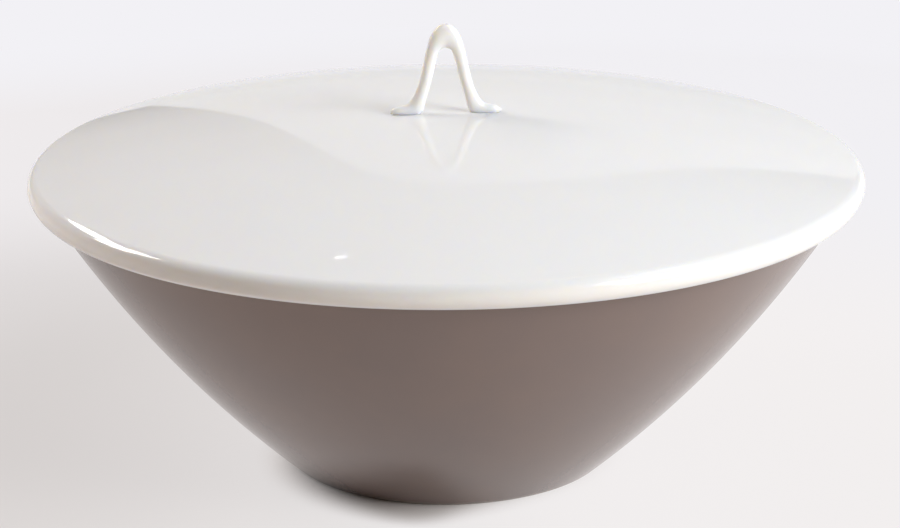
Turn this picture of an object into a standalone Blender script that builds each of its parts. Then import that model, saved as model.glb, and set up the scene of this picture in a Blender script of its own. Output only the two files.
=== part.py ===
"""Covered vegetable dish: a porcelain bowl on a small foot, a wide domed lid and the loop that lifts it.

Metres, +Z up. The origin is the centre of the foot, on the table, and X runs along the handle's loop.
Profiles are lists of (radius, height, reach): a reach above zero rounds that corner.
"""

import bmesh
import bpy
import numpy as np

# Bowl
RIM_DIAMETER = 0.2500  # outside, where the wall's curve meets the top of the rim
BOWL_HEIGHT = 0.0892  # table to the top of the rim
FOOT_DIAMETER = 0.1012  # outside, where the wall reaches the table
WALL_BULGE = 0.0045  # how far the curved wall stands out from a straight cone
WALL = 0.0045  # thickness of the wall, square to it
RIM_ROUND = 0.0013  # reach of the rounding on the rim's two corners
FLOOR = 0.0050  # thickness of the floor
FLOOR_SWEEP = 0.0160  # reach of the curve that joins floor and wall
FOOT_RING = 0.0058  # width of the ring that stands on the table
FOOT_RECESS = 0.0028  # depth of the hollow inside the ring
FOOT_RECESS_TAPER = 0.0020
FOOT_ROUND = 0.0007

# Lid
LIP_CLEARANCE = 0.0010  # between the bowl's rim and the lip that hangs over it
EDGE_WALL = 0.0040  # from the lip's inside to the lid's widest line
EDGE_ROUND = 0.0040  # radius of the shoulder above the widest line
EDGE_DROP = 0.0037  # widest line down to the bottom of the lip
EDGE_TUCK = 0.0019  # how far the lip draws in below the widest line
LIP_DROP = 0.0014  # how far the lip hangs below the seat
LIP_ROUND = 0.0006
DOME_RISE = 0.0190  # widest line up to the top of the dome
LID_WALL = 0.0045  # thickness of the dome
FLANGE_CLEARANCE = 0.0012  # between the bowl's inside and the flange, square to the wall
FLANGE_DEPTH = 0.0085  # how far the flange reaches below the seat
FLANGE_WALL = 0.0042  # width of the flange at its bottom
FLANGE_ROUND = 0.0013
FLANGE_FILLET = 0.0030  # between the flange and the underside of the dome
SEAT_GAP = 0.0003  # between the rim and the lid's seat

# Handle
HANDLE_HEIGHT = 0.0285  # above the top of the dome
HANDLE_SPREAD = 0.0346  # from foot tip to foot tip
HANDLE_ROD = 0.0041  # diameter of the legs
HANDLE_CROWN = 0.0073  # diameter at the top of the loop
CROWN_SPAN = 0.0075  # length on each side over which the crown thins to the rod
CROWN_REACH = 0.0041  # how far the crown's curve runs level on each side
LEG_GAP_TOP = 0.0070  # between the legs' centre lines, carried up to the crown
LEG_GAP_FOOT = 0.0176  # between the legs' centre lines at the feet
FOOT_LIFT = 0.0005  # centre of the foot's rod above the dome
TIP_LEAST = 0.30  # share of the rod's diameter that is left at a foot's tip
HANDLE_GAP = 0.0003  # between the feet and the dome

# Fineness of the curved faces
TURN_STEPS = 64
WALL_PIECES = 5
DOME_PIECES = 9
EDGE_PIECES = 4
CORNER_PIECES = 2
HANDLE_POINTS = 9  # on each of the loop's four curves
HANDLE_BEVEL = 3

MERGE = 0.00001

TAUPE_GLAZE = (0.190, 0.150, 0.132)
TAUPE_ROUGHNESS = 0.42
WHITE_GLAZE = (0.830, 0.815, 0.795)
WHITE_ROUGHNESS = 0.06

# The bowl's wall is an arc through the foot's and the rim's outer corners.
foot_corner = np.array([FOOT_DIAMETER / 2, 0.0])
rim_corner = np.array([RIM_DIAMETER / 2, BOWL_HEIGHT])
chord = rim_corner - foot_corner
chord_length = np.hypot(*chord)
arc_radius = (chord_length**2 / 4 + WALL_BULGE**2) / (2 * WALL_BULGE)
arc_inward = np.array([-chord[1], chord[0]]) / chord_length
arc_centre = (foot_corner + rim_corner) / 2 + arc_inward * (arc_radius - WALL_BULGE)

# The lid's heights are measured from its seat. The dome and the shoulder are two arcs that share a tangent.
seat_height = BOWL_HEIGHT + SEAT_GAP
lip_inside = RIM_DIAMETER / 2 + LIP_CLEARANCE
lid_radius = lip_inside + EDGE_WALL
edge_height = EDGE_DROP - LIP_DROP
shoulder_centre = lid_radius - EDGE_ROUND
dome_top = edge_height + DOME_RISE
dome_radius = (shoulder_centre**2 + DOME_RISE**2 - EDGE_ROUND**2) / (2 * (DOME_RISE - EDGE_ROUND))
dome_centre = dome_top - dome_radius
shoulder_angle = np.arctan2(shoulder_centre, edge_height - dome_centre)


def wall_radius(height, inset):
    """Radius of the bowl's wall at a height, at a depth below its outer surface."""
    return arc_centre[0] + np.sqrt((arc_radius - inset) ** 2 - (height - arc_centre[1]) ** 2)


def dome_height(radius, inset=0.0):
    """Height of the dome above the seat at a radius, at a depth below its upper surface."""
    return dome_centre + np.sqrt((dome_radius - inset) ** 2 - radius**2)


def smooth_run(radii, heights):
    """Profile points that need no rounding, because they follow a curve."""
    return list(zip(radii, heights, np.zeros(len(radii))))


def rounded(corners):
    """The profile's points, with each corner that has a reach turned into a quadratic curve."""
    corners = np.array(corners)
    places, reaches = corners[:, :2], corners[:, 2]
    points = []
    for i, (place, reach) in enumerate(zip(places, reaches)):
        if reach == 0:
            points.append(place)
            continue
        before = places[i - 1] - place
        after = places[i + 1] - place
        start = place + before / np.hypot(*before) * reach
        end = place + after / np.hypot(*after) * reach
        for t in np.linspace(0, 1, CORNER_PIECES + 1):
            points.append((1 - t) ** 2 * start + 2 * t * (1 - t) * place + t**2 * end)
    return np.array(points)


def bowl_profile():
    """Inside from the floor's centre up to the rim, then down the outside to the foot and its hollow."""
    floor_top = FOOT_RECESS + FLOOR
    inner = np.linspace(floor_top + FLOOR_SWEEP, BOWL_HEIGHT, WALL_PIECES + 1)[:-1]
    outer = np.linspace(BOWL_HEIGHT, 0, WALL_PIECES + 2)[1:-1]
    ring_inside = FOOT_DIAMETER / 2 - FOOT_RING
    return rounded(
        [
            (0, floor_top, 0),
            (wall_radius(floor_top, WALL), floor_top, FLOOR_SWEEP),
            *smooth_run(wall_radius(inner, WALL), inner),
            (wall_radius(BOWL_HEIGHT, WALL), BOWL_HEIGHT, RIM_ROUND),
            (*rim_corner, RIM_ROUND),
            *smooth_run(wall_radius(outer, 0), outer),
            (*foot_corner, FOOT_ROUND),
            (ring_inside, 0, FOOT_ROUND),
            (ring_inside - FOOT_RECESS_TAPER, FOOT_RECESS, FOOT_ROUND),
            (0, FOOT_RECESS, 0),
        ]
    )


def lid_profile():
    """Dome, shoulder and lip down the outside, then seat, flange and the dome's underside."""
    over = np.linspace(0, shoulder_angle, DOME_PIECES + 1)
    shoulder = np.linspace(shoulder_angle, np.pi / 2, EDGE_PIECES + 1)[1:]
    shoulder_radii = shoulder_centre + EDGE_ROUND * np.sin(shoulder)
    shoulder_heights = edge_height + EDGE_ROUND * np.cos(shoulder)
    tuck_radius = (EDGE_DROP**2 + EDGE_TUCK**2) / (2 * EDGE_TUCK)
    tuck = np.linspace(0, np.arcsin(EDGE_DROP / tuck_radius), EDGE_PIECES)[1:-1]
    tuck_radii = lid_radius - tuck_radius * (1 - np.cos(tuck))
    tuck_heights = edge_height - tuck_radius * np.sin(tuck)
    flange_bottom = wall_radius(BOWL_HEIGHT - FLANGE_DEPTH, WALL + FLANGE_CLEARANCE)
    flange_inside = flange_bottom - FLANGE_WALL
    under = np.linspace(flange_inside, 0, DOME_PIECES)[1:]
    return rounded(
        [
            *smooth_run(dome_radius * np.sin(over), dome_centre + dome_radius * np.cos(over)),
            *smooth_run(shoulder_radii, shoulder_heights),
            *smooth_run(tuck_radii, tuck_heights),
            (lid_radius - EDGE_TUCK, -LIP_DROP, LIP_ROUND),
            (lip_inside, -LIP_DROP, LIP_ROUND),
            (lip_inside, 0, 0),
            (wall_radius(BOWL_HEIGHT, WALL + FLANGE_CLEARANCE), 0, 0),
            (flange_bottom, -FLANGE_DEPTH, FLANGE_ROUND),
            (flange_inside, -FLANGE_DEPTH, FLANGE_ROUND),
            (flange_inside, dome_height(flange_inside, LID_WALL), FLANGE_FILLET),
            *smooth_run(under, dome_height(under, LID_WALL)),
        ]
    )


def handle_cutter_profile():
    """The space that the dome takes under the handle's feet, with the gap above it."""
    top = np.linspace(0, HANDLE_SPREAD, DOME_PIECES)
    return rounded(
        [
            *smooth_run(top, dome_height(top) + HANDLE_GAP),
            (HANDLE_SPREAD, 0, 0),
            (0, 0, 0),
        ]
    )


def cubic(start, pull_start, pull_end, end):
    """Points of a cubic curve between two ends."""
    t = np.linspace(0, 1, HANDLE_POINTS)[:, None]
    weights = np.hstack([(1 - t) ** 3, 3 * t * (1 - t) ** 2, 3 * t**2 * (1 - t), t**3])
    return weights @ np.array([start, pull_start, pull_end, end])


def handle_path():
    """Points and radii along the loop, from one foot's tip over the crown to the other.

    Each half is two cubic curves that meet in the middle of a straight leg: one bends over into the crown,
    the other turns outwards into a foot that lies along the dome.
    """
    tip_radius = HANDLE_SPREAD / 2
    crown_height = dome_top + HANDLE_HEIGHT - HANDLE_CROWN / 2
    foot_height = dome_height(tip_radius) + FOOT_LIFT
    crown = np.array([0, crown_height])
    tip = np.array([tip_radius, foot_height])
    leg_top = np.array([LEG_GAP_TOP / 2, crown_height])
    leg_foot = np.array([LEG_GAP_FOOT / 2, foot_height])
    knee = (leg_top + leg_foot) / 2
    upper = cubic(crown, crown + (CROWN_REACH, 0), (leg_top + knee) / 2, knee)
    lower = cubic(knee, leg_foot, leg_foot, tip)
    half = np.vstack([upper, lower[1:]])

    along = np.concatenate([[0], np.cumsum(np.hypot(*np.diff(half, axis=0).T))])
    swelling = (1 + np.cos(np.pi * np.minimum(along / CROWN_SPAN, 1))) / 2
    radius = HANDLE_ROD / 2 + (HANDLE_CROWN - HANDLE_ROD) / 2 * swelling
    into_tip = np.clip((along - along[-1] + HANDLE_ROD / 2) / (HANDLE_ROD / 2), 0, 1)
    radius *= np.maximum(np.sqrt(1 - into_tip**2), TIP_LEAST)

    mirrored = half[:0:-1] * (-1, 1)
    return np.vstack([mirrored, half]), np.concatenate([radius[:0:-1], radius])


def glaze(name, colour, roughness):
    """A plain glaze of one colour."""
    material = bpy.data.materials.new(name)
    material.use_nodes = True
    shader = material.node_tree.nodes["Principled BSDF"]
    shader.inputs["Base Color"].default_value = (*colour, 1)
    shader.inputs["Roughness"].default_value = roughness
    shader.inputs["Metallic"].default_value = 0
    return material


def turned(name, profile, collection, parent=None, material=None):
    """An object made by turning a profile round Z."""
    points = [(radius, 0, height) for radius, height in profile]
    edges = [(i, i + 1) for i in range(len(points) - 1)]
    mesh = bpy.data.meshes.new(name)
    mesh.from_pydata(points, edges, [])
    if material:
        mesh.materials.append(material)
    obj = bpy.data.objects.new(name, mesh)
    obj.parent = parent
    collection.objects.link(obj)
    turn = obj.modifiers.new("turn", "SCREW")
    turn.axis = "Z"
    turn.angle = 2 * np.pi
    turn.steps = TURN_STEPS
    turn.render_steps = TURN_STEPS
    turn.use_merge_vertices = True
    turn.merge_threshold = MERGE
    turn.use_smooth_shade = True
    return obj


def bent_rod(name, points, radii, collection, parent, material):
    """A mesh object of the loop: a round rod along points in the XZ plane."""
    curve = bpy.data.curves.new(name + "_rod", "CURVE")
    curve.dimensions = "3D"
    curve.bevel_depth = HANDLE_ROD / 2
    curve.bevel_resolution = HANDLE_BEVEL
    curve.use_fill_caps = True
    spline = curve.splines.new("POLY")
    spline.points.add(len(points) - 1)
    for point, (x, z), radius in zip(spline.points, points, radii):
        point.co = (x, 0, z, 1)
        point.radius = radius / (HANDLE_ROD / 2)
    rod = bpy.data.objects.new(name + "_rod", curve)
    rod.parent = parent
    collection.objects.link(rod)

    mesh = bpy.data.meshes.new_from_object(rod.evaluated_get(bpy.context.evaluated_depsgraph_get()))
    welded = bmesh.new()
    welded.from_mesh(mesh)
    bmesh.ops.remove_doubles(welded, verts=welded.verts, dist=MERGE)
    welded.to_mesh(mesh)
    welded.free()
    mesh.shade_smooth()
    mesh.materials.clear()
    mesh.materials.append(material)
    obj = bpy.data.objects.new(name, mesh)
    obj.parent = parent
    obj.matrix_world = rod.matrix_world
    collection.objects.link(obj)
    bpy.data.objects.remove(rod)
    return obj


def build():
    for obj in list(bpy.data.objects):
        bpy.data.objects.remove(obj)

    scene = bpy.context.scene
    dish = bpy.data.collections.new("covered_vegetable_dish")
    cutters = bpy.data.collections.new("cutters")
    scene.collection.children.link(dish)
    scene.collection.children.link(cutters)

    taupe = glaze("satin_taupe_glaze", TAUPE_GLAZE, TAUPE_ROUGHNESS)
    white = glaze("gloss_white_glaze", WHITE_GLAZE, WHITE_ROUGHNESS)
    handle_white = glaze("gloss_white_handle_glaze", WHITE_GLAZE, WHITE_ROUGHNESS)

    # The lid and its handle hang from a point on the line along which they lift.
    lift_axis = bpy.data.objects.new("lid_lift_axis", None)
    lift_axis.location = (0, 0, seat_height)
    dish.objects.link(lift_axis)

    turned("bowl", bowl_profile(), dish, material=taupe)
    turned("lid", lid_profile(), dish, lift_axis, white)
    points, radii = handle_path()
    handle = bent_rod("lid_handle", points, radii, dish, lift_axis, handle_white)

    cutter = turned("dome_under_handle", handle_cutter_profile(), cutters, lift_axis)
    cutter.hide_render = True
    cutter.display_type = "WIRE"
    seat = handle.modifiers.new("seat_on_dome", "BOOLEAN")
    seat.operation = "DIFFERENCE"
    seat.solver = "EXACT"
    seat.object = cutter


build()
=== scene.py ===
"""Looks of a covered vegetable dish: glazed porcelain bowl, domed lid and loop handle, in a pale studio.

Metres, +Z up. The origin is the centre of the foot, on the table, and X runs along the handle's loop.
A profile is an array of (radius, height) rows that is turned about Z.
"""

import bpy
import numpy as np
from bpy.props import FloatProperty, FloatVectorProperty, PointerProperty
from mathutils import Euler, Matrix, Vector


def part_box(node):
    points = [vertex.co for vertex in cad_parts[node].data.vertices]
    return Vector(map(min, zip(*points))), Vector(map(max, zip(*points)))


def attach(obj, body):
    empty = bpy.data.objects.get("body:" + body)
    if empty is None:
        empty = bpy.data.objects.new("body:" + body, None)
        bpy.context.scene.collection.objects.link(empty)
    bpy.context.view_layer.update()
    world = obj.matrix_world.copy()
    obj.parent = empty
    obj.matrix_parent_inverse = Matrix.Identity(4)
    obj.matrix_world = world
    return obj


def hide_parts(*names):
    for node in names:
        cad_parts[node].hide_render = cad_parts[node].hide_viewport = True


bl_info = {
    "name": "Covered Vegetable Dish",
    "version": (1, 0, 0),
    "blender": (4, 5, 0),
    "location": "3D View > Sidebar > Dish",
    "description": "Makes a glazed bowl, its domed lid and loop handle, and a soft studio to show them in",
    "category": "Add Mesh",
}

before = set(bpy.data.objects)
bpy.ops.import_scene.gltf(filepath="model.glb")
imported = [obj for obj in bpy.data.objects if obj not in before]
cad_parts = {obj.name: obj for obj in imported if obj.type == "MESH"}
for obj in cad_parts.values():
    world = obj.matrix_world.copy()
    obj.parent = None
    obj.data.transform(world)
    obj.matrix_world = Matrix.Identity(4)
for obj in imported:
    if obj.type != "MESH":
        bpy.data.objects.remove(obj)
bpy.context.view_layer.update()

BOWL_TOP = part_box("bowl")[1].z
LID_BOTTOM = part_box("lid")[0].z
LID_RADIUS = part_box("lid")[1].x
DOME_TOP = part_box("lid")[1].z
HANDLE_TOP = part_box("lid_handle")[1].z

# Numbers of points
TURN_POINTS = 360  # round a turned shape
CORNER_POINTS = 11  # round a small corner
INSIDE_POINTS = 48  # up the inside of the bowl's wall, and across the underside of the dome
OUTSIDE_POINTS = 60  # down the outside of the bowl's wall
FLOOR_POINTS = 14  # across the bowl's floor
SWEEP_POINTS = 25  # round the curve that joins the bowl's floor and wall
RECESS_POINTS = 10  # across the recess in the foot
DOME_POINTS = 72  # from the top of the dome to its shoulder
SHOULDER_POINTS = 25  # round the lid's shoulder
TUCK_POINTS = 18  # down the outside of the lid's lip
SEAT_POINTS = 4  # across the lid's seat
LOOP_POINTS = 261  # along the handle's loop
LOOP_CROWDING = 0.6  # how much closer they stand at the loop's ends, where 1 is touching
RING_POINTS = 80  # round the handle's rod
PAPER_POINTS = (60, 97)  # out from the middle of the paper, and round it
PANEL_POINTS = (12, 120)  # up the panel, and along its outline

# Where glaze has pooled, in metres. On the lid's rim that band is painted shade as well as pooled glaze.
RIM_POOL_AND_SHADE_START = 0.0006  # above the bottom of the lid's lip
RIM_POOL_AND_SHADE_END = 0.003  # above the lid's widest line
FEET_POOL_END = 0.001  # above the top of the dome

# Camera
IMAGE_WIDTH = 900  # pixels of the picture that it takes
SENSOR_WIDTH = 36.0  # millimetres
NEAREST = 0.05  # metres to the nearest thing that it shows
FURTHEST = 50.0  # metres to the furthest

# Lamps: places are bearing and elevation in degrees and distance in metres, sizes are metres across and up
KEY_PLACE = (121, 21, 1.6)
KEY_SIZE = (0.85, 0.78)
TOP_PLACE = (100, 54, 1.6)
TOP_SIZE = (0.75, 0.4)
REAR_PLACE = (-48, 34, 1.62)
REAR_SIZE = (1.1, 0.24)
REAR_LEAN = 13  # degrees
WINDOW_PLACE = (-72, 34, 1.6)
WINDOW_SIZE = (0.42, 0.42)
SPARK_PLACE = (-8.6, 42.5, 1.72)
SPARK_SIZE = (0.018, 0.006)

# Light of the room: middles are bearing and elevation in degrees
HIGH_MIDDLE = (-37, 29)
RIGHT_MIDDLE = (60, 45)
GLOW_EDGE = 0.4  # cosine of the angle from a glow's middle to its edge
GLOW_RISE = {"From Min": -0.3, "From Max": 0.12}  # upward part of the directions over which glows come up
BAND_MIDDLE = (60, 0)
BAND_EDGE = {"From Min": 0.64, "From Max": 0.71}  # cosine of the angle from the band's middle
BAND_TOP = {"From Min": 0.25, "From Max": 0.02}  # upward part of the directions over which the band ends

# Paper and panel, in metres
PAPER_RADII = (0.005, 12.0)  # of the hole that the bowl hides, and of the edge
PANEL_DISTANCE = 1.5  # behind the dish
PANEL_SHADES = {"From Min": 0.1, "From Max": 0.8}  # heights of its low and its high brightness
# Places across and up
PANEL_OUTLINE = np.array(
    [
        (-0.315, 0.00),
        (-0.284, 0.22),
        (-0.237, 0.44),
        (-0.172, 0.77),
        (-0.028, 1.01),
        (0.181, 0.955),
        (0.370, 0.74),
        (0.560, 0.52),
        (0.660, 0.37),
    ]
)


# Settings


def length(name, millimetres, description):
    """A size that is given here in millimetres and kept in metres."""
    return FloatProperty(
        name=name,
        description=description,
        default=millimetres / 1000,
        min=0.0,
        precision=5,
        subtype="DISTANCE",
        unit="LENGTH",
    )


def angle(name, degrees, description):
    """An angle that is given here in degrees and kept in radians."""
    return FloatProperty(
        name=name,
        description=description,
        default=np.radians(degrees),
        subtype="ANGLE",
        unit="ROTATION",
    )


def amount(name, value, description):
    """A plain number that is not below zero."""
    return FloatProperty(name=name, description=description, default=value, min=0.0)


def linear(srgb_hex):
    """An sRGB hex colour in linear light: the steep power of 2.4, with the straight part near black."""
    srgb = np.array([int(srgb_hex[i : i + 2], 16) for i in (1, 3, 5)]) / 255
    return tuple(np.where(srgb <= 0.04045, srgb / 12.92, ((srgb + 0.055) / 1.055) ** 2.4))


def colour(name, srgb_hex, description):
    """A colour that is given here as an sRGB hex value and kept in linear light."""
    return FloatVectorProperty(
        name=name,
        description=description,
        default=linear(srgb_hex),
        min=0.0,
        max=1.0,
        size=3,
        subtype="COLOR",
    )


class BowlSettings(bpy.types.PropertyGroup):
    """Sizes of the bowl."""

    height: length("Height", BOWL_TOP * 1000, "Table to the top of the rim")
    rim_diameter: length("Rim", 250.0, "Outside, where the wall's curve meets the top of the rim")
    foot_diameter: length("Foot", 101.2, "Outside, where the wall reaches the table")
    bulge: length("Bulge", 4.5, "How far the curved wall stands out from a straight cone")
    wall: length("Wall", 4.5, "Thickness of the wall, square to it")
    rim_round: length("Rim rounding", 1.3, "Reach of the rounding on the rim's two corners")
    floor: length("Floor", 5.0, "Thickness of the floor")
    floor_sweep: length("Floor sweep", 16.0, "Reach of the curve that joins floor and wall")
    ring: length("Foot ring", 5.8, "Width of the ring that stands on the table")
    recess: length("Recess", 2.8, "Depth of the hollow inside the ring")
    recess_taper: length("Recess taper", 2.0, "How far the hollow's side slopes in")
    foot_round: length("Foot rounding", 0.7, "Reach of the rounding on the ring's corners")


class LidSettings(bpy.types.PropertyGroup):
    """Sizes of the lid."""

    radius: length("Radius", LID_RADIUS * 1000, "Axis to the widest line")
    top: length("Top", DOME_TOP * 1000, "Table to the top of the dome")
    bottom: length("Bottom", LID_BOTTOM * 1000, "Table to the bottom of the flange")
    dome_rise: length("Dome rise", 19.0, "Widest line up to the top of the dome")
    edge_round: length("Edge rounding", 4.0, "Radius of the shoulder above the widest line")
    edge_wall: length("Edge wall", 4.0, "From the lip's inside to the widest line")
    edge_drop: length("Edge drop", 3.7, "Widest line down to the bottom of the lip")
    edge_tuck: length("Edge tuck", 1.9, "How far the lip draws in below the widest line")
    lip_drop: length("Lip drop", 1.4, "How far the lip hangs below the seat")
    lip_round: length("Lip rounding", 0.6, "Reach of the rounding on the lip's corners")
    wall: length("Wall", 4.5, "Thickness of the dome")
    flange_gap: length("Flange gap", 1.2, "Between the bowl's inside and the flange, square to the wall")
    flange_wall: length("Flange wall", 4.2, "Width of the flange at its bottom")
    flange_round: length("Flange rounding", 1.3, "Reach of the rounding on the flange's corners")
    flange_fillet: length("Flange fillet", 3.0, "Reach of the curve between flange and dome")


class HandleSettings(bpy.types.PropertyGroup):
    """Sizes of the loop. Widths run from the loop's middle line, heights from the top of the dome."""

    height: length("Height", (HANDLE_TOP - DOME_TOP) * 1000, "Top of the dome to the top of the loop")
    reach: length("Reach", 17.4, "Middle of the loop to a foot's tip")
    arch: length("Arch", 20.5, "Top of the dome to the inside of the crown")
    crown_depth: length("Crown depth", 4.1, "Front to back of the crown")
    leg_depth: length("Leg depth", 3.5, "Front to back of the legs")
    toe_depth: length("Toe depth", 3.4, "Front to back of the toes")
    toe_height: length("Toe height", 2.15, "Top of the dome to the top of a toe")
    sink: length("Sink", 0.8, "How far the feet are pressed into the lid")
    tip: length("Tip", 4.2, "Length over which a toe rounds off to its tip")
    slip_fillet: length("Slip fillet", 0.5, "Radius of the slip that is smoothed round the feet")


class GlazeSettings(bpy.types.PropertyGroup):
    """Colours of the glazes and the clay, and how far light soaks in."""

    taupe: colour("Taupe", "#79645b", "Satin glaze outside the bowl, where it lies evenly")
    taupe_deep: colour("Deep taupe", "#75625b", "Satin glaze where it lies thicker")
    taupe_thin: colour("Thin taupe", "#978a81", "Satin glaze where it runs thin over an edge")
    white: colour("White", "#e5e3e4", "Clear glaze on white porcelain")
    # Also painted shade: it darkens and warms the band on the lid's rim
    white_pool_and_rim_shade: colour("Pooled white", "#e8e3df", "Clear glaze where it has gathered")
    biscuit: colour("Biscuit", "#e0d8cc", "Bare fired clay where the pieces stood in the kiln")
    soak: amount("Soak", 0.5, "Share of the light that travels through the white clay")
    soak_thin: amount("Thin soak", 0.9, "That share in the handle, where the clay is thin")


class StageSettings(bpy.types.PropertyGroup):
    """Camera and studio. Bearings are seen from above, clockwise from straight behind the dish."""

    bearing: angle("Camera bearing", 5.0, "How far round the dish the camera is, clockwise from the front")
    distance: length("Camera distance", 910.0, "Camera to the dish's axis, along the floor")
    rise: length("Camera height", 345.5, "Camera above the floor")
    aside: length("Camera offset", 1.05, "Camera to the right of the dish's axis")
    pitch: angle("Camera pitch", 17.34, "How far the camera looks down")
    roll: angle("Camera roll", 0.285, "How far the camera leans to the right")
    focal_pixels: amount("Focal length", 3019.0, "Focal length in the picture's pixels")
    paper: colour("Paper", "#dad2ce", "White paper that the dish stands on")
    paper_glow: colour("Paper glow", "#f4f1f1", "Colour of the paper's own brightness near the dish")
    backdrop: colour("Backdrop", "#f2f1f5", "What shows past the paper, and of the paper far from the dish")
    # A smaller share and a dimmer glow on the left paint the dish's soft shadow on the paper
    lift_left: amount("Lift, left", 0.70, "Share of its own brightness in what the paper shows on the left")
    lift_right: amount("Lift, right", 0.95, "Share of its own brightness in what it shows on the right")
    glow_left: amount("Glow, left", 0.81, "The paper's own brightness on the left, where 1 is full")
    key: amount("Key light", 14.7, "Brightness of the soft box to the right, where 1 is white")
    top: amount("Top light", 2.2, "Brightness of the dim soft box above the key light")
    rear: amount("Rear light", 13.0, "Brightness of the long soft box behind to the left")
    window: amount("Window", 17.8, "Brightness of the small window to the left")
    left_tint: colour("Left tint", "#fffaf5", "Colour of the lights on the left")
    right_tint: colour("Right tint", "#f7fdff", "Colour of the lights on the right")
    spark: amount("Spark light", 9.0, "Brightness of the small bare lamp high up behind")
    panel: amount("Panel", 0.76, "Brightness of the white panel behind the dish, high up")
    panel_low: amount("Panel, low", 0.78, "Brightness of the panel near the floor")
    room_high: colour("Room, high", "#b8b9b9", "Light of the room high up behind to the left")
    room_right: colour("Room, right", "#80868a", "Light of the room high up to the right")
    room_dim: colour("Room, dim", "#3f352c", "Light of the room on all sides")


class DishSettings(bpy.types.PropertyGroup):
    """Everything about the dish that a user may change."""

    bowl: PointerProperty(name="Bowl", type=BowlSettings)
    lid: PointerProperty(name="Lid", type=LidSettings)
    handle: PointerProperty(name="Handle", type=HandleSettings)
    glaze: PointerProperty(name="Glaze", type=GlazeSettings)
    stage: PointerProperty(name="Stage", type=StageSettings)


# Surfaces


def closed_skin(name, rings, start, end, zones, materials):
    """A closed mesh object over rings of points, with a single point at each end.

    Point (i, j) is ring i's point j, and each quad joins points (i, j), (i+1, j), (i+1, j+1) and (i, j+1),
    counted round the ring. Zone k is the material of the band before ring k; the last one closes the end.
    """
    count, steps = rings.shape[:2]
    here = np.arange(count)[:, None] * steps + np.arange(steps)
    beside = np.roll(here, -1, axis=1)
    quads = np.stack([here[:-1], here[1:], beside[1:], beside[:-1]], -1).reshape(-1, 4)
    first, last = count * steps, count * steps + 1
    start_fan = np.stack([np.full(steps, first), here[0], beside[0]], -1)
    end_fan = np.stack([here[-1], np.full(steps, last), beside[-1]], -1)
    points = np.vstack([rings.reshape(-1, 3), start, end])

    mesh = bpy.data.meshes.new(name)
    mesh.from_pydata(points, [], start_fan.tolist() + quads.tolist() + end_fan.tolist())
    for material in materials:
        mesh.materials.append(material)
    mesh.polygons.foreach_set("material_index", np.repeat(zones, steps).astype(np.int32))
    mesh.shade_smooth()
    mesh.update()
    obj = bpy.data.objects.new(name, mesh)
    bpy.context.scene.collection.objects.link(obj)
    return obj


def turned(name, stretches, materials):
    """A turned body: each row of the profile is carried round Z as a ring.

    Point j of ring i is row i's radius times the cosine and sine of j steps, at row i's height.
    Stretches are (profile, material index) pairs that follow each other from the axis back to the axis.
    """
    profile = np.vstack([stretches[0][0]] + [points[1:] for points, _ in stretches[1:]])
    zones = np.repeat([zone for _, zone in stretches], [len(points) - 1 for points, _ in stretches])
    turn = np.arange(TURN_POINTS) * 2 * np.pi / TURN_POINTS
    radius, height = profile[1:-1, 0, None], profile[1:-1, 1, None]
    rings = np.stack([radius * np.cos(turn), radius * np.sin(turn), height + 0 * turn], -1)
    start, end = (0, 0, profile[0, 1]), (0, 0, profile[-1, 1])
    return closed_skin(name, rings, start, end, zones, materials)


def rounded(before, place, after, reach, points=CORNER_POINTS):
    """A rounded corner: the quadratic curve between the points a reach away from it on its two sides."""
    before, place, after = np.array(before), np.array(place), np.array(after)
    start = place + (before - place) * reach / np.hypot(*(before - place))
    end = place + (after - place) * reach / np.hypot(*(after - place))
    t = np.linspace(0, 1, points)[:, None]
    return (1 - t) ** 2 * start + 2 * t * (1 - t) * place + t**2 * end


def column(radius, height):
    """Profile rows from radii and heights, either of which may be a single number."""
    return np.column_stack(np.broadcast_arrays(radius, height))


def smooth_through(knots, values, places):
    """The natural cubic spline through values at knots, read at places.

    The bends at the knots solve the usual banded system: each knot's bend, with its neighbours', makes up the
    change of slope there, and the two ends have none. Between knots the bends are mixed as cubes.
    """
    step = np.diff(knots)
    system = np.eye(len(knots))
    middle = np.arange(1, len(knots) - 1)
    system[middle, middle - 1] = step[:-1] / 6
    system[middle, middle] = (step[:-1] + step[1:]) / 3
    system[middle, middle + 1] = step[1:] / 6
    slope = np.diff(values, axis=0) / step[:, None]
    change = np.zeros_like(values)
    change[1:-1] = np.diff(slope, axis=0)
    bend = np.linalg.solve(system, change)

    i = np.clip(np.searchsorted(knots, places) - 1, 0, len(step) - 1)
    width = step[i, None]
    b = ((places - knots[i]) / step[i])[:, None]
    a = 1 - b
    cubes = (a**3 - a) * bend[i] + (b**3 - b) * bend[i + 1]
    return a * values[i] + b * values[i + 1] + cubes * width**2 / 6


class WallArc:
    """The arc of the bowl's wall, through the outer corners of foot and rim."""

    def __init__(self, bowl):
        foot = np.array([bowl.foot_diameter / 2, 0])
        rim = np.array([bowl.rim_diameter / 2, bowl.height])
        chord = rim - foot
        span = np.hypot(*chord)
        self.radius = (span**2 / 4 + bowl.bulge**2) / (2 * bowl.bulge)
        inward = np.array([-chord[1], chord[0]]) / span
        self.centre = (foot + rim) / 2 + inward * (self.radius - bowl.bulge)

    def at(self, height, inset=0.0):
        """Radius of the wall at a height, at a depth below its outer surface, by the circle's equation."""
        return self.centre[0] + np.sqrt((self.radius - inset) ** 2 - (height - self.centre[1]) ** 2)


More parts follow.
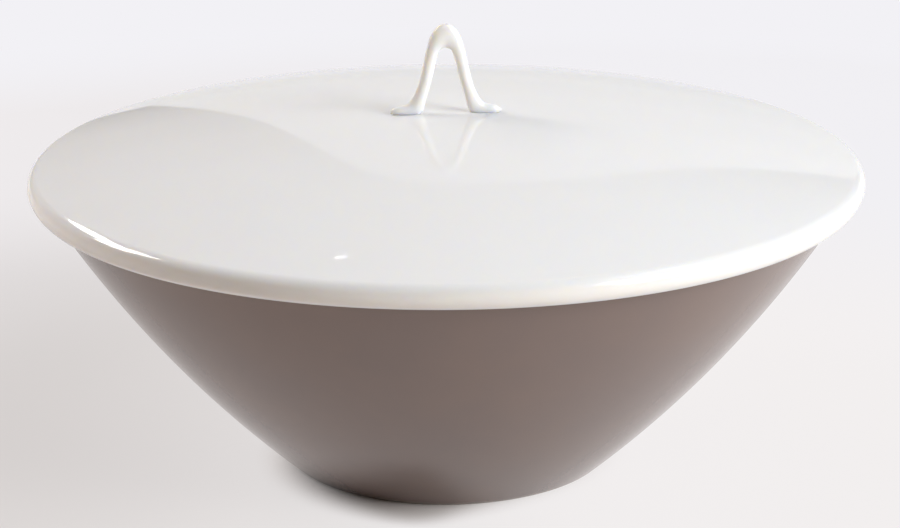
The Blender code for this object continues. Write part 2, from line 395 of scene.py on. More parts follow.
class LidArcs:
    """The dome and the shoulder of the lid, two arcs that share a tangent."""

    def __init__(self, lid):
        self.edge = lid.top - lid.dome_rise
        self.shoulder_centre = lid.radius - lid.edge_round
        rise, across, tight = lid.dome_rise, self.shoulder_centre, lid.edge_round
        self.radius = (across**2 + rise**2 - tight**2) / (2 * (rise - tight))
        self.centre = lid.top - self.radius
        self.turn = np.arctan2(across, self.edge - self.centre)

    def height(self, radius, inset=0.0):
        """Height of the dome at a radius, at a depth below its upper surface, by the circle's equation."""
        return self.centre + np.sqrt((self.radius - inset) ** 2 - radius**2)


def bowl_stretches(bowl):
    """The bowl's profile: white inside, taupe outside, bare clay under the foot, white in the recess."""
    wall = WallArc(bowl)
    top, thick = bowl.height, bowl.wall
    floor = bowl.recess + bowl.floor
    floor_side = (wall.at(floor, thick), floor)
    rim_in, rim_out = (wall.at(top, thick), top), (wall.at(top), top)
    foot_out = (bowl.foot_diameter / 2, 0)
    ring_in = (bowl.foot_diameter / 2 - bowl.ring, 0)
    hollow = (ring_in[0] - bowl.recess_taper, bowl.recess)

    up = np.linspace(floor + bowl.floor_sweep, top - bowl.rim_round, INSIDE_POINTS)
    down = np.linspace(top - bowl.rim_round, bowl.foot_round, OUTSIDE_POINTS)
    inner_line = column(wall.at(up, thick), up)
    outer_line = column(wall.at(down), down)
    floor_corner = rounded((0, floor), floor_side, inner_line[0], bowl.floor_sweep, SWEEP_POINTS)
    rim_inside = rounded(inner_line[-1], rim_in, rim_out, bowl.rim_round)
    rim_outside = rounded(rim_in, rim_out, outer_line[0], bowl.rim_round)
    foot_outside = rounded(outer_line[-1], foot_out, ring_in, bowl.foot_round)
    foot_inside = rounded(foot_out, ring_in, hollow, bowl.foot_round)
    recess_corner = rounded(ring_in, hollow, (0, bowl.recess), bowl.foot_round)
    floor_line = column(np.linspace(0, floor_corner[0, 0], FLOOR_POINTS), floor)
    recess_line = column(np.linspace(recess_corner[-1, 0], 0, RECESS_POINTS), bowl.recess)

    half = len(foot_outside) // 2
    inside = np.vstack([floor_line[:-1], floor_corner, inner_line[1:-1], rim_inside, rim_outside[:1]])
    outside = np.vstack([rim_outside, outer_line[1:-1], foot_outside[: half + 1]])
    bare = np.vstack([foot_outside[half:], foot_inside])
    recess = np.vstack([foot_inside[-1:], recess_corner, recess_line[1:]])
    return [(inside, 0), (outside, 1), (bare, 2), (recess, 0)]


def lid_stretches(lid, bowl):
    """The lid's profile: dome, shoulder and lip, then seat, flange with a bare bottom, and underside."""
    arcs, wall = LidArcs(lid), WallArc(bowl)
    lip_inside = lid.radius - lid.edge_wall
    lip_bottom = arcs.edge - lid.edge_drop
    seat = lip_bottom + lid.lip_drop
    tuck_radius = (lid.edge_drop**2 + lid.edge_tuck**2) / (2 * lid.edge_tuck)
    inset = bowl.wall + lid.flange_gap

    over = np.linspace(0, arcs.turn, DOME_POINTS)
    round_edge = np.linspace(arcs.turn, np.pi / 2, SHOULDER_POINTS)
    tuck = np.linspace(0, np.arcsin(lid.edge_drop / tuck_radius), TUCK_POINTS)
    dome = column(arcs.radius * np.sin(over), arcs.centre + arcs.radius * np.cos(over))
    shoulder = column(
        arcs.shoulder_centre + lid.edge_round * np.sin(round_edge),
        arcs.edge + lid.edge_round * np.cos(round_edge),
    )
    tucked = column(
        lid.radius - tuck_radius * (1 - np.cos(tuck)),
        arcs.edge - tuck_radius * np.sin(tuck),
    )
    lip_out, lip_in = (lid.radius - lid.edge_tuck, lip_bottom), (lip_inside, lip_bottom)
    tucked = tucked[np.hypot(*(tucked - lip_out).T) > lid.lip_round]

    flange_top = (wall.at(bowl.height, inset), seat)
    flange_out = (wall.at(lid.bottom - seat + bowl.height, inset), lid.bottom)
    flange_in = (flange_out[0] - lid.flange_wall, lid.bottom)
    under_edge = (flange_in[0], arcs.height(flange_in[0], lid.wall))
    under = np.linspace(flange_in[0] - lid.flange_fillet, 0, INSIDE_POINTS)
    underside = column(under, arcs.height(under, lid.wall))

    lip_outside = rounded(tucked[-1], lip_out, lip_in, lid.lip_round)
    lip_corner = rounded(lip_out, lip_in, (lip_inside, seat), lid.lip_round)
    flange_outside = rounded(flange_top, flange_out, flange_in, lid.flange_round)
    flange_inside = rounded(flange_out, flange_in, under_edge, lid.flange_round)
    fillet = rounded(flange_in, under_edge, underside[0], lid.flange_fillet)
    seat_line = column(np.linspace(lip_inside, flange_top[0], SEAT_POINTS), seat)

    half = len(flange_outside) // 2
    upper = np.vstack([dome, shoulder[1:], tucked[1:], lip_outside, lip_corner, seat_line])
    glazed = np.vstack([upper, flange_outside[: half + 1]])
    bare = np.vstack([flange_outside[half:], flange_inside[: half + 1]])
    lower = np.vstack([flange_inside[half:], fillet, underside[1:]])
    return [(glazed, 0), (bare, 1), (lower, 0)]


def handle_stations(handle):
    """Sections of the loop from the crown to a foot's tip, in metres.

    Each row is the outer edge's and the inner edge's place (across, up) and the section's half depth.
    """
    crown, leg, toe = handle.crown_depth / 2, handle.leg_depth / 2, handle.toe_depth / 2
    top, arch, low = handle.height, handle.arch, -handle.sink
    return np.array(
        [
            (0.0, top, 0.0, arch, crown),
            (0.0037, top - 0.0024, 0.0013, arch - 0.0003, crown),
            (0.0057, top - 0.0072, 0.0022, arch - 0.0014, leg),
            (0.0070, 0.0154, 0.00335, 0.0146, leg),
            (0.0085, 0.0092, 0.0049, 0.0083, leg),
            (0.0098, 0.0059, 0.0062, 0.0037, leg),
            (0.0117, handle.toe_height + 0.0011, 0.0079, low + 0.0007, toe),
            (0.0141, handle.toe_height + 0.0003, 0.0117, low, toe),
            (handle.reach, handle.toe_height - 0.0003, handle.reach, low, toe),
        ]
    )


def handle_rings(handle, arcs):
    """Rings of the loop: each is an ellipse from the outer to the inner edge of its section, and as deep.

    The stations are mirrored over the crown and joined by a spline along the loop. Towards a tip the ellipse
    shrinks: its share is the square root of one less the square of the way into the tip. Points near the dome
    move out along it by the gap between a quarter circle and its corner, so that the slip ends in a fillet.
    """
    half = handle_stations(handle)
    mirrored = half[:0:-1] * (-1, 1, -1, 1, 1)
    stations = np.vstack([mirrored, half])
    middle = (stations[:, 0:2] + stations[:, 2:4]) / 2
    knots = np.concatenate([[0], np.cumsum(np.hypot(*np.diff(middle, axis=0).T))])
    even = np.linspace(0, 1, LOOP_POINTS)
    crowded = even - np.sin(2 * np.pi * even) * LOOP_CROWDING / (2 * np.pi)
    along = crowded[1:-1] * knots[-1]
    sections = smooth_through(knots, stations, along)

    to_end = np.minimum(along, knots[-1] - along)
    into_tip = np.clip(1 - to_end / handle.tip, 0, 1)
    shrink = np.sqrt(1 - into_tip**2)[:, None]
    centre = (sections[:, 0:2] + sections[:, 2:4]) / 2
    reach = (sections[:, 0:2] - sections[:, 2:4]) / 2 * shrink
    depth = sections[:, 4:5] * shrink
    turn = np.arange(RING_POINTS) * 2 * np.pi / RING_POINTS
    x = centre[:, :1] + reach[:, :1] * np.cos(turn)
    y = depth * np.sin(turn)
    z = arcs.height(0) + centre[:, 1:] + reach[:, 1:] * np.cos(turn)
    rings = np.stack([x, y, z], -1)

    out = np.cross(np.gradient(rings, axis=0), np.roll(rings, -1, axis=1) - np.roll(rings, 1, axis=1))
    flat = out[..., :2] / np.maximum(np.linalg.norm(out[..., :2], axis=-1, keepdims=True), 1e-12)
    above = z - arcs.height(np.hypot(x, y))
    fillet = handle.slip_fillet
    down = np.clip(fillet - above, 0, fillet)
    rings[..., :2] += flat * (fillet - np.sqrt(fillet**2 - down**2))[..., None]
    tips = np.array([(side * handle.reach, 0, arcs.height(0) + centre[0, 1]) for side in (-1, 1)])
    return rings, tips


# Materials


# Settings that many nodes share
SMOOTH = {"interpolation_type": "SMOOTHSTEP"}
COLOURS = {"data_type": "RGBA"}
COLOUR_SUM = {"data_type": "RGBA", "blend_type": "ADD"}
DIRECTIONS = {"data_type": "VECTOR"}
DOT = {"operation": "DOT_PRODUCT"}
LARGER = {"operation": "MAXIMUM"}
TIMES = {"operation": "MULTIPLY"}
NOISE_RANGE = {"From Min": 0.3, "From Max": 0.7}  # nearly all of a noise lies between these


def add_node(tree, kind, settings=None, inputs=None):
    """Adds a node, sets its attributes, and gives its inputs values or links.

    A link comes from a socket, or from the first output of a node. A colour gets an alpha of one.
    """
    node = tree.nodes.new(kind)
    for name, value in (settings or {}).items():
        setattr(node, name, value)
    for name, value in (inputs or {}).items():
        if isinstance(value, bpy.types.Node):
            value = value.outputs[0]
        if isinstance(value, bpy.types.NodeSocket):
            tree.links.new(value, node.inputs[name])
        elif node.inputs[name].type == "RGBA":
            node.inputs[name].default_value = (*value, 1)
        else:
            node.inputs[name].default_value = value
    return node


def new_tree(owner):
    """The empty node tree of a material or world, and the place or direction that its patterns start from."""
    owner.use_nodes = True
    tree = owner.node_tree
    tree.nodes.clear()
    start = "Object" if isinstance(owner, bpy.types.Material) else "Generated"
    return tree, add_node(tree, "ShaderNodeTexCoord").outputs[start]


def satin_taupe_glaze(glaze, bowl):
    """A satin glaze, sprayed on and fired: fine crystals in it spread the light, so highlights are soft.

    It clouds a little where the spray lay thicker, and is paler where it runs thin at the rim and the foot.
    """
    material = bpy.data.materials.new("satin_taupe_glaze")
    tree, place = new_tree(material)
    cloud_size = 0.030
    # The crystals are about 0.1 mm across, too fine to show, so they are drawn at 0.7 mm.
    crystal_size, crystal_height = 0.0007, 0.000012
    # Heights over which the glaze runs thin
    rim_band = {"From Min": bowl.height - 0.0022, "From Max": bowl.height - 0.0002}
    foot_band = {"From Min": 0.0016, "From Max": 0.0004}
    gloss = {**NOISE_RANGE, "To Min": 0.12, "To Max": 0.18}

    clouds = {"Vector": place, "Scale": 1 / cloud_size, "Detail": 3.0}
    cloud = add_node(tree, "ShaderNodeTexNoise", inputs=clouds)
    even = add_node(tree, "ShaderNodeMapRange", SMOOTH, {"Value": cloud, **NOISE_RANGE})
    body = add_node(tree, "ShaderNodeMix", COLOURS, {0: even, 6: glaze.taupe_deep, 7: glaze.taupe})
    height = add_node(tree, "ShaderNodeSeparateXYZ", inputs={"Vector": place}).outputs["Z"]
    rim = add_node(tree, "ShaderNodeMapRange", SMOOTH, {"Value": height, **rim_band})
    foot = add_node(tree, "ShaderNodeMapRange", SMOOTH, {"Value": height, **foot_band})
    thin = add_node(tree, "ShaderNodeMath", LARGER, {0: rim, 1: foot})
    worn = add_node(tree, "ShaderNodeMix", COLOURS, {0: thin, 6: body.outputs[2], 7: glaze.taupe_thin})
    crystal = add_node(tree, "ShaderNodeTexNoise", inputs={"Vector": place, "Scale": 1 / crystal_size})
    roughness = add_node(tree, "ShaderNodeMapRange", SMOOTH, {"Value": crystal, **gloss})
    grain = add_node(tree, "ShaderNodeBump", inputs={"Height": crystal, "Distance": crystal_height})
    shader = add_node(
        tree,
        "ShaderNodeBsdfPrincipled",
        inputs={"Base Color": worn.outputs[2], "Roughness": roughness, "IOR": 1.6, "Normal": grain},
    )
    add_node(tree, "ShaderNodeOutputMaterial", inputs={"Surface": shader})
    return material


def clear_glaze_on_porcelain(name, glaze, soak, pool_and_shade=(0, 0)):
    """A clear glaze over white porcelain, dipped and fired to a full gloss: sharp reflections, slightly wavy.

    The glaze is a little uneven, and faintly ivory where it has gathered and between the band's two heights.
    On the lid's rim that band is painted shade as well as pooled glaze: it darkens and warms the rim, which
    faces the room's dim warm front.
    Soak is the share of the light that travels through the clay, which is more where the clay is thin.
    """
    material = bpy.data.materials.new(name)
    tree, place = new_tree(material)
    drift_size, mottle_size = 0.045, 0.006
    # Glaze that has flowed keeps a swell of about a hundredth of a millimetre, two centimetres long.
    swell_size, swell_height = 0.022, 0.000010
    # Red light goes furthest through the clay.
    soak_depth, soak_colours = 0.004, (1.0, 0.85, 0.55)
    # Heights of the ivory band: pooled glaze, and on the lid's rim painted shade too
    pool_and_shade_low = {"From Min": pool_and_shade[0], "From Max": pool_and_shade[0] + 0.0008}
    pool_and_shade_high = {"From Min": pool_and_shade[1], "From Max": pool_and_shade[1] - 0.002}
    uneven = {**NOISE_RANGE, "To Min": 0.12, "To Max": 0.0}
    gloss = {**NOISE_RANGE, "To Min": 0.03, "To Max": 0.06}

    drift = add_node(tree, "ShaderNodeTexNoise", inputs={"Vector": place, "Scale": 1 / drift_size})
    gathered = add_node(tree, "ShaderNodeMapRange", SMOOTH, {"Value": drift, **uneven})
    height = add_node(tree, "ShaderNodeSeparateXYZ", inputs={"Vector": place}).outputs["Z"]
    above = add_node(tree, "ShaderNodeMapRange", SMOOTH, {"Value": height, **pool_and_shade_low})
    pooled_and_shaded = add_node(tree, "ShaderNodeMapRange", SMOOTH, {"Value": height, **pool_and_shade_high, "To Max": above})
    ivory = add_node(tree, "ShaderNodeMath", LARGER, {0: gathered, 1: pooled_and_shaded})
    body = add_node(tree, "ShaderNodeMix", COLOURS, {0: ivory, 6: glaze.white, 7: glaze.white_pool_and_rim_shade})
    mottle = add_node(tree, "ShaderNodeTexNoise", inputs={"Vector": place, "Scale": 1 / mottle_size})
    roughness = add_node(tree, "ShaderNodeMapRange", SMOOTH, {"Value": mottle, **gloss})
    swells = {"Vector": place, "Scale": 1 / swell_size, "Detail": 1.0}
    swell = add_node(tree, "ShaderNodeTexNoise", inputs=swells)
    wave = add_node(tree, "ShaderNodeBump", inputs={"Height": swell, "Distance": swell_height})
    shader = add_node(
        tree,
        "ShaderNodeBsdfPrincipled",
        inputs={
            "Base Color": body.outputs[2],
            "Roughness": roughness,
            "IOR": 1.5,
            "Normal": wave,
            "Subsurface Weight": soak,
            "Subsurface Radius": soak_colours,
            "Subsurface Scale": soak_depth,
        },
    )
    add_node(tree, "ShaderNodeOutputMaterial", inputs={"Surface": shader})
    return material


def bare_biscuit(glaze):
    """Porcelain wiped bare of glaze where it stood in the kiln, and fired: dry, pale and finely gritty."""
    material = bpy.data.materials.new("bare_biscuit_porcelain")
    tree, place = new_tree(material)
    smudge_size = 0.012
    # The grit is about 0.1 mm, too fine to show, so it is drawn at 0.6 mm.
    grit_size, grit_height = 0.0006, 0.00004
    stain = {"From Min": 0.35, "From Max": 0.7, "To Max": 0.5}
    dryness = {**NOISE_RANGE, "To Min": 0.62, "To Max": 0.8}

    smudges = {"Vector": place, "Scale": 1 / smudge_size, "Detail": 3.0}
    smudge = add_node(tree, "ShaderNodeTexNoise", inputs=smudges)
    stained = add_node(tree, "ShaderNodeMapRange", SMOOTH, {"Value": smudge, **stain})
    body = add_node(tree, "ShaderNodeMix", COLOURS, {0: stained, 6: glaze.biscuit, 7: glaze.taupe_thin})
    grits = {"Vector": place, "Scale": 1 / grit_size, "Detail": 3.0}
    grit = add_node(tree, "ShaderNodeTexNoise", inputs=grits)
    roughness = add_node(tree, "ShaderNodeMapRange", SMOOTH, {"Value": grit, **dryness})
    tooth = add_node(tree, "ShaderNodeBump", inputs={"Height": grit, "Distance": grit_height})
    shader = add_node(
        tree,
        "ShaderNodeBsdfPrincipled",
        inputs={"Base Color": body.outputs[2], "Roughness": roughness, "Normal": tooth},
    )
    add_node(tree, "ShaderNodeOutputMaterial", inputs={"Surface": shader})
    return material


def matt_paper(stage):
    """White background paper, matt: no highlights, and a soft shadow under the dish and to its left.

    To the eye and in reflections, part of what it shows is a brightness of its own, which lifts the shadow.
    That part is smaller and dimmer on the left, which paints the dish's soft shadow there. Close to the foot
    it goes, by how much the dish hides of the side that the nearest big lamp is on, so that the shadow there
    stays dark. Far away it is all there is and has the backdrop's colour, so that the paper's edge doesn't
    show.
    Behind the dish it is a little dimmer in reflections.
    """
    material = bpy.data.materials.new("matt_white_paper")
    tree, place = new_tree(material)
    # Metres to the right of the dish's axis
    dim_to_bright = {"From Min": -0.17, "From Max": 0.06}
    rear_to_key = {"From Min": -0.05, "From Max": 0.037}
    # Metres from the axis
    near_to_far = {"From Min": 0.14, "From Max": 0.36}
    fade_out = {"From Min": 0.25, "From Max": 0.6}
    # Metres behind the axis, and the dimming there
    dimming = {"From Min": 0.0, "From Max": 0.2, "To Min": 1.0, "To Max": 0.93}
    # Metres within which the dish hides a lamp's side, and the open shares that count as none and as all
    hiding_reach = 0.015
    openness = {"From Min": 0.22, "From Max": 0.80}

    paper = {"Base Color": stage.paper, "Roughness": 1.0, "Specular IOR Level": 0.0}
    sheet = add_node(tree, "ShaderNodeBsdfPrincipled", inputs=paper)
    rightward, backward = {0: place, 1: way(stage, 90, 0)}, {0: place, 1: way(stage, 0, 0)}
    aside = add_node(tree, "ShaderNodeVectorMath", DOT, rightward).outputs["Value"]
    behind = add_node(tree, "ShaderNodeVectorMath", DOT, backward).outputs["Value"]
    distance = add_node(tree, "ShaderNodeVectorMath", {"operation": "LENGTH"}, {0: place}).outputs["Value"]

    key_side = add_node(tree, "ShaderNodeMapRange", SMOOTH, {"Value": aside, **rear_to_key})
    lamps = {4: from_dish(stage, *REAR_PLACE), 5: from_dish(stage, *KEY_PLACE)}
    toward = add_node(tree, "ShaderNodeMix", DIRECTIONS, {0: key_side, **lamps}).outputs[1]
    hiding = {"Distance": hiding_reach, "Normal": toward}
    open_share = add_node(tree, "ShaderNodeAmbientOcclusion", {"samples": 16}, hiding).outputs["AO"]
    lifts = {"To Min": stage.lift_left, "To Max": stage.lift_right}
    most = add_node(tree, "ShaderNodeMapRange", SMOOTH, {"Value": aside, **dim_to_bright, **lifts})
    lift = add_node(tree, "ShaderNodeMapRange", SMOOTH, {"Value": open_share, **openness, "To Max": most})
    fade = add_node(tree, "ShaderNodeMapRange", SMOOTH, {"Value": distance, **fade_out})
    own = add_node(tree, "ShaderNodeMath", LARGER, {0: fade, 1: lift})
    ray = add_node(tree, "ShaderNodeLightPath").outputs
    reflected = {0: ray["Is Glossy Ray"], 1: ray["Is Transmission Ray"]}
    mirrored = add_node(tree, "ShaderNodeMath", LARGER, reflected)
    shown = add_node(tree, "ShaderNodeMath", LARGER, {0: ray["Is Camera Ray"], 1: mirrored})
    glowing = add_node(tree, "ShaderNodeMath", TIMES, {0: own, 1: shown})

    # Painted shadow: the paper's own brightness dims towards the left of the dish
    dim_left = {**dim_to_bright, "To Min": stage.glow_left}
    side = add_node(tree, "ShaderNodeMapRange", SMOOTH, {"Value": aside, **dim_left})
    away = add_node(tree, "ShaderNodeMapRange", SMOOTH, {"Value": distance, **near_to_far})
    strength = add_node(tree, "ShaderNodeMapRange", inputs={"Value": away, "To Min": side})
    dim = add_node(tree, "ShaderNodeMapRange", SMOOTH, {"Value": behind, **dimming})
    part = add_node(tree, "ShaderNodeMapRange", inputs={"Value": mirrored, "To Min": 1.0, "To Max": dim})
    level = add_node(tree, "ShaderNodeMath", TIMES, {0: strength, 1: part})
    tints = {6: stage.paper_glow, 7: stage.backdrop}
    tint = add_node(tree, "ShaderNodeMix", COLOURS, {0: away, **tints}).outputs[2]
    glow = add_node(tree, "ShaderNodeEmission", inputs={"Color": tint, "Strength": level})
    mixed = add_node(tree, "ShaderNodeMixShader", inputs={0: glowing, 1: sheet, 2: glow})
    add_node(tree, "ShaderNodeOutputMaterial", inputs={"Surface": mixed})
    return material


def lit_card(stage):
    """White card that is lit almost evenly, with one brightness low down and another high up."""
    material = bpy.data.materials.new("lit_white_card")
    tree, place = new_tree(material)
    shades = {**PANEL_SHADES, "To Min": stage.panel_low, "To Max": stage.panel}
    height = add_node(tree, "ShaderNodeSeparateXYZ", inputs={"Vector": place}).outputs["Z"]
    strength = add_node(tree, "ShaderNodeMapRange", SMOOTH, {"Value": height, **shades})
    glow = add_node(tree, "ShaderNodeEmission", inputs={"Color": (1, 1, 1), "Strength": strength})
    add_node(tree, "ShaderNodeOutputMaterial", inputs={"Surface": glow})
    return material


# Stage


def way(stage, bearing, elevation):
    """The direction at a bearing, clockwise from straight behind the dish, and an elevation, in degrees."""
    turn = np.radians(bearing) + stage.bearing
    lift = np.radians(elevation)
    level = np.cos(lift)
    return np.array([level * np.sin(turn), level * np.cos(turn), np.sin(lift)])


def from_dish(stage, bearing, elevation, distance):
    """The place at a distance from the top of the lid, in the direction of a bearing and an elevation."""
    return distance * way(stage, bearing, elevation) + (0, 0, DOME_TOP)


def soft_box(name, place, size, glow, tint=(1, 1, 1), shape="RECTANGLE", lean=0.0):
    """A flat lamp at a place that faces the lid and leans clockwise as seen from there, unseen by the camera.

    Its watts are pi times its area times its brightness.
    """
    data = bpy.data.lights.new(name, "AREA")
    data.shape = shape
    data.size, data.size_y = size
    area = size[0] * size[1] * (np.pi / 4 if shape == "ELLIPSE" else 1)
    data.energy = np.pi * area * glow
    data.color = tint
    lamp = bpy.data.objects.new(name, data)
    facing = Vector((0, 0, DOME_TOP) - place).to_track_quat("-Z", "Y").to_matrix().to_4x4()
    lamp.matrix_world = Matrix.Translation(place) @ facing @ Matrix.Rotation(np.radians(lean), 4, "Z")
    lamp.visible_camera = False
    bpy.context.scene.collection.objects.link(lamp)
    return lamp


def open_sheet(name, points, material):
    """A mesh object over a grid of points, with a quad for each four neighbours."""
    rows, steps = points.shape[:2]
    here = np.arange(rows * steps).reshape(rows, steps)
    quads = np.stack([here[:-1, :-1], here[1:, :-1], here[1:, 1:], here[:-1, 1:]], -1).reshape(-1, 4)
    mesh = bpy.data.meshes.new(name)
    mesh.from_pydata(points.reshape(-1, 3), [], quads.tolist())
    mesh.materials.append(material)
    mesh.shade_smooth()
    obj = bpy.data.objects.new(name, mesh)
    bpy.context.scene.collection.objects.link(obj)
    return obj


def make_floor(stage):
    """A round sheet of paper: radius times the cosine and sine of the turn, with wider rings further out."""
    radius = np.geomspace(*PAPER_RADII, PAPER_POINTS[0])[:, None]
    turn = np.linspace(0, 2 * np.pi, PAPER_POINTS[1])
    points = np.stack([radius * np.cos(turn), radius * np.sin(turn), 0 * radius * turn], -1)
    return open_sheet("paper_floor", points, matt_paper(stage))


def make_panel(stage):
    """An arched white panel that stands behind the dish: strips from the floor up to its outline.

    The outline is a spline through (across, up) places, at even steps along it.
    """
    knots = np.concatenate([[0], np.cumsum(np.hypot(*np.diff(PANEL_OUTLINE, axis=0).T))])
    outline = smooth_through(knots, PANEL_OUTLINE, np.linspace(0, knots[-1], PANEL_POINTS[1]))
    share = np.linspace(0, 1, PANEL_POINTS[0])[:, None]
    across = outline[:, 0] + 0 * share
    points = np.stack([across, PANEL_DISTANCE + 0 * across, outline[:, 1] * share], -1)
    turn = np.array(Matrix.Rotation(-stage.bearing, 3, "Z"))
    card = open_sheet("white_panel", points @ turn.T, lit_card(stage))
    card.visible_camera = False
    card.visible_shadow = False
    return card


def light_room(stage):
    """The room's own light: wide glows that add up over a dim ground and fade out below the horizon.

    A glow is the cosine of the angle from its middle, smoothed from its edge up to one. A low band behind the
    dish to the right is the backdrop instead, and so is all that the camera sees past the paper.
    """
    world = bpy.data.worlds.new("studio")
    bpy.context.scene.world = world
    tree, direction = new_tree(world)
    height = add_node(tree, "ShaderNodeSeparateXYZ", inputs={"Vector": direction}).outputs["Z"]
    high = add_node(tree, "ShaderNodeMapRange", SMOOTH, {"Value": height, **GLOW_RISE})
    light = stage.room_dim
    for middle, tint in ((HIGH_MIDDLE, stage.room_high), (RIGHT_MIDDLE, stage.room_right)):
        toward = {0: direction, 1: way(stage, *middle)}
        nearness = add_node(tree, "ShaderNodeVectorMath", DOT, toward).outputs["Value"]
        near = add_node(tree, "ShaderNodeMapRange", SMOOTH, {"Value": nearness, "From Min": GLOW_EDGE})
        share = add_node(tree, "ShaderNodeMath", TIMES, {0: near, 1: high})
        light = add_node(tree, "ShaderNodeMix", COLOUR_SUM, {0: share, 6: light, 7: tint}).outputs[2]

    low = add_node(tree, "ShaderNodeMapRange", SMOOTH, {"Value": height, **BAND_TOP})
    toward = {0: direction, 1: way(stage, *BAND_MIDDLE)}
    nearness = add_node(tree, "ShaderNodeVectorMath", DOT, toward).outputs["Value"]
    near = add_node(tree, "ShaderNodeMapRange", SMOOTH, {"Value": nearness, **BAND_EDGE})
    share = add_node(tree, "ShaderNodeMath", TIMES, {0: low, 1: near})
    light = add_node(tree, "ShaderNodeMix", COLOURS, {0: share, 6: light, 7: stage.backdrop}).outputs[2]
    room = add_node(tree, "ShaderNodeBackground", inputs={"Color": light})
    plain = add_node(tree, "ShaderNodeBackground", inputs={"Color": stage.backdrop})
    seen = add_node(tree, "ShaderNodeLightPath").outputs["Is Camera Ray"]
    mixed = add_node(tree, "ShaderNodeMixShader", inputs={0: seen, 1: room, 2: plain})
    add_node(tree, "ShaderNodeOutputWorld", inputs={"Surface": mixed})


def make_lamps(stage):
    """Soft boxes to the right, above that one and behind to the left, a window and a small bare lamp."""
    left, right = stage.left_tint, stage.right_tint
    rear = from_dish(stage, *REAR_PLACE)
    soft_box("key_soft_box", from_dish(stage, *KEY_PLACE), KEY_SIZE, stage.key, right)
    soft_box("top_soft_box", from_dish(stage, *TOP_PLACE), TOP_SIZE, stage.top, right)
    soft_box("rear_soft_box", rear, REAR_SIZE, stage.rear, left, "ELLIPSE", REAR_LEAN)
    soft_box("window", from_dish(stage, *WINDOW_PLACE), WINDOW_SIZE, stage.window, left)
    soft_box("bare_lamp", from_dish(stage, *SPARK_PLACE), SPARK_SIZE, stage.spark)


def make_camera(stage):
    """The camera in front of the dish, turned about the dish's axis by its bearing."""
    data = bpy.data.cameras.new("camera")
    data.sensor_width = SENSOR_WIDTH
    data.lens = stage.focal_pixels * SENSOR_WIDTH / IMAGE_WIDTH
    data.clip_start, data.clip_end = NEAREST, FURTHEST
    camera = bpy.data.objects.new("camera", data)
    round_dish = Matrix.Rotation(-stage.bearing, 4, "Z")
    place = Matrix.Translation((stage.aside, -stage.distance, stage.rise))
    look = Euler((np.pi / 2 - stage.pitch, 0, 0)).to_matrix().to_4x4()
    lean = Matrix.Rotation(-stage.roll, 4, "Z")
    camera.matrix_world = round_dish @ place @ look @ lean
    bpy.context.scene.collection.objects.link(camera)
    bpy.context.scene.camera = camera


# Operators


class DISH_OT_bowl(bpy.types.Operator):
    """Make the bowl: taupe outside, white inside, on a bare foot ring"""

    bl_idname = "dish.bowl"
    bl_label = "Glazed Bowl"

    def execute(self, context):
        dish = context.scene.dish
        materials = [
            clear_glaze_on_porcelain("clear_glaze_on_porcelain_bowl", dish.glaze, dish.glaze.soak),
            satin_taupe_glaze(dish.glaze, dish.bowl),
            bare_biscuit(dish.glaze),
        ]
        bowl = turned("glazed_bowl", bowl_stretches(dish.bowl), materials)
        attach(bowl, "bowl")
        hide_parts("bowl")
        return {"FINISHED"}


class DISH_OT_lid(bpy.types.Operator):
    """Make the domed lid with its lip and the flange that keeps it in place"""

    bl_idname = "dish.lid"
    bl_label = "Domed Lid"

    def execute(self, context):
        dish = context.scene.dish
        edge = dish.lid.top - dish.lid.dome_rise
        # The rim's ivory band is pooled glaze and painted shade, darker and warmer where the rim faces the
        # dim room
        rim = (edge - dish.lid.edge_drop + RIM_POOL_AND_SHADE_START, edge + RIM_POOL_AND_SHADE_END)
        materials = [
            clear_glaze_on_porcelain("clear_glaze_on_porcelain_lid", dish.glaze, dish.glaze.soak, rim),
            bare_biscuit(dish.glaze),
        ]
        lid = turned("domed_lid", lid_stretches(dish.lid, dish.bowl), materials)
        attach(lid, "lid")
        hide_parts("lid")
        return {"FINISHED"}


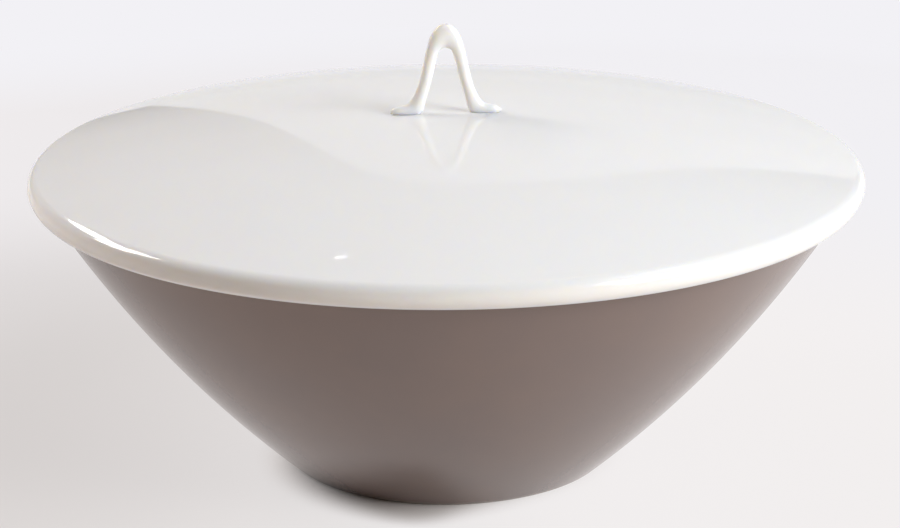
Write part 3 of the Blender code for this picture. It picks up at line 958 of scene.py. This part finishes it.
class DISH_OT_handle(bpy.types.Operator):
    """Make the loop handle with its toes stuck to the dome"""

    bl_idname = "dish.handle"
    bl_label = "Loop Handle"

    def execute(self, context):
        dish = context.scene.dish
        rings, tips = handle_rings(dish.handle, LidArcs(dish.lid))
        feet = (0, dish.lid.top + FEET_POOL_END)
        soak = dish.glaze.soak_thin
        glaze = clear_glaze_on_porcelain("clear_glaze_on_porcelain_handle", dish.glaze, soak, feet)
        zones = np.zeros(len(rings) + 1)
        handle = closed_skin("loop_handle", rings, tips[0], tips[1], zones, [glaze])
        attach(handle, "lid")
        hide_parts("lid_handle")
        return {"FINISHED"}


class DISH_OT_stage(bpy.types.Operator):
    """Make the paper floor, the studio's lights and the camera"""

    bl_idname = "dish.stage"
    bl_label = "Studio"

    def execute(self, context):
        stage = context.scene.dish.stage
        context.scene.view_settings.view_transform = "Standard"
        make_floor(stage)
        make_panel(stage)
        light_room(stage)
        make_lamps(stage)
        make_camera(stage)
        return {"FINISHED"}


class DISH_PT_panel(bpy.types.Panel):
    """The dish's pieces, sizes and colours"""

    bl_idname = "DISH_PT_panel"
    bl_label = "Covered Vegetable Dish"
    bl_space_type = "VIEW_3D"
    bl_region_type = "UI"
    bl_category = "Dish"

    def draw(self, context):
        dish = context.scene.dish
        parts = {"bowl": dish.bowl, "lid": dish.lid, "handle": dish.handle, "stage": dish.stage}
        for part, settings in parts.items():
            box = self.layout.box()
            box.operator(f"dish.{part}")
            for name in settings.__annotations__:
                box.prop(settings, name)
        box = self.layout.box()
        for name in dish.glaze.__annotations__:
            box.prop(dish.glaze, name)


CLASSES = (
    BowlSettings,
    LidSettings,
    HandleSettings,
    GlazeSettings,
    StageSettings,
    DishSettings,
    DISH_OT_bowl,
    DISH_OT_lid,
    DISH_OT_handle,
    DISH_OT_stage,
    DISH_PT_panel,
)


def register():
    for cls in CLASSES:
        bpy.utils.register_class(cls)
    bpy.types.Scene.dish = PointerProperty(name="Dish", type=DishSettings)


def unregister():
    del bpy.types.Scene.dish
    for cls in reversed(CLASSES):
        bpy.utils.unregister_class(cls)


def main():
    """Makes the dish and its studio."""
    register()
    bpy.ops.dish.bowl()
    bpy.ops.dish.lid()
    bpy.ops.dish.handle()
    bpy.ops.dish.stage()


if __name__ == "__main__":
    main()
